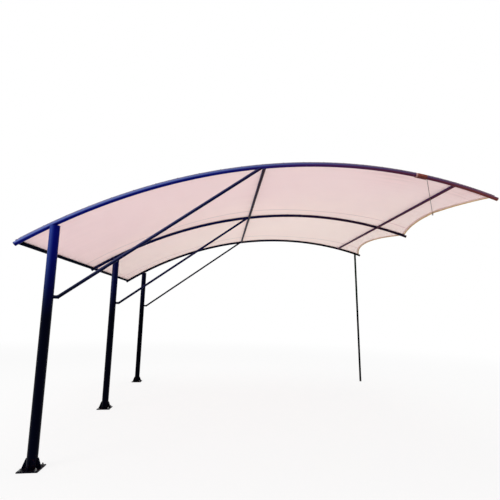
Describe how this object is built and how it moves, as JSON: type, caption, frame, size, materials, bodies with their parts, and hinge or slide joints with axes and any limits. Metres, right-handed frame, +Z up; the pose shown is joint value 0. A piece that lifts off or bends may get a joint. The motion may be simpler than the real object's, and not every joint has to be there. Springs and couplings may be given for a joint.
{
  "type": "tensile parking shade",
  "caption": "Open parking shade: braced posts carry arched pipe ribs and purlins under a stretched fabric canopy with a scalloped free edge.",
  "frame": {"origin": "ground level under the axis of the middle post", "axes": "+X from the post row towards the free edge of the canopy, +Y along the post row from the front frame to the rear frame, +Z up"},
  "size_m": [5.881, 5.2, 3.5486],
  "materials": {
    "frame_paint": "gloss navy enamel on steel pipe",
    "prop_paint": "dark enamel on steel pipe",
    "plug_plastic": "moulded dark plastic",
    "membrane_fabric": "coated woven polyester, pale, lets light through",
    "hem_webbing": "woven webbing over an edge rope",
    "tie_rope": "twisted rope, weathered"
  },
  "bodies": {
    "root": {"front_base_plate": "frame_paint", "middle_base_plate": "frame_paint", "rear_base_plate": "frame_paint", "front_foot_gussets": "frame_paint", "middle_foot_gussets": "frame_paint", "rear_foot_gussets": "frame_paint", "front_post": "frame_paint", "middle_post": "frame_paint", "rear_post": "frame_paint", "front_post_cap": "frame_paint", "middle_post_cap": "frame_paint", "rear_post_cap": "frame_paint", "front_rib": "frame_paint", "middle_rib": "frame_paint", "rear_rib": "frame_paint", "front_rib_plugs": "plug_plastic", "middle_rib_plugs": "plug_plastic", "rear_rib_plugs": "plug_plastic", "back_purlin_front_bay": "frame_paint", "back_purlin_rear_bay": "frame_paint", "mid_purlin_front_bay": "frame_paint", "mid_purlin_rear_bay": "frame_paint", "edge_purlin_front_bay": "frame_paint", "edge_purlin_rear_bay": "frame_paint", "front_strut_lug": "frame_paint", "middle_strut_lug": "frame_paint", "rear_strut_lug": "frame_paint", "front_strut": "frame_paint", "middle_strut": "frame_paint", "rear_strut": "frame_paint", "membrane": "membrane_fabric", "front_edge_hem": "hem_webbing", "rear_edge_hem": "hem_webbing", "front_rib_clamp_bar": "frame_paint", "rear_rib_clamp_bar": "frame_paint", "back_clamp_bar": "frame_paint", "corner_plate": "frame_paint", "rib_lashing": "tie_rope", "edge_tie_cord": "tie_rope", "tie_knot": "tie_rope", "prop": "prop_paint"}
  },
  "joints": []
}
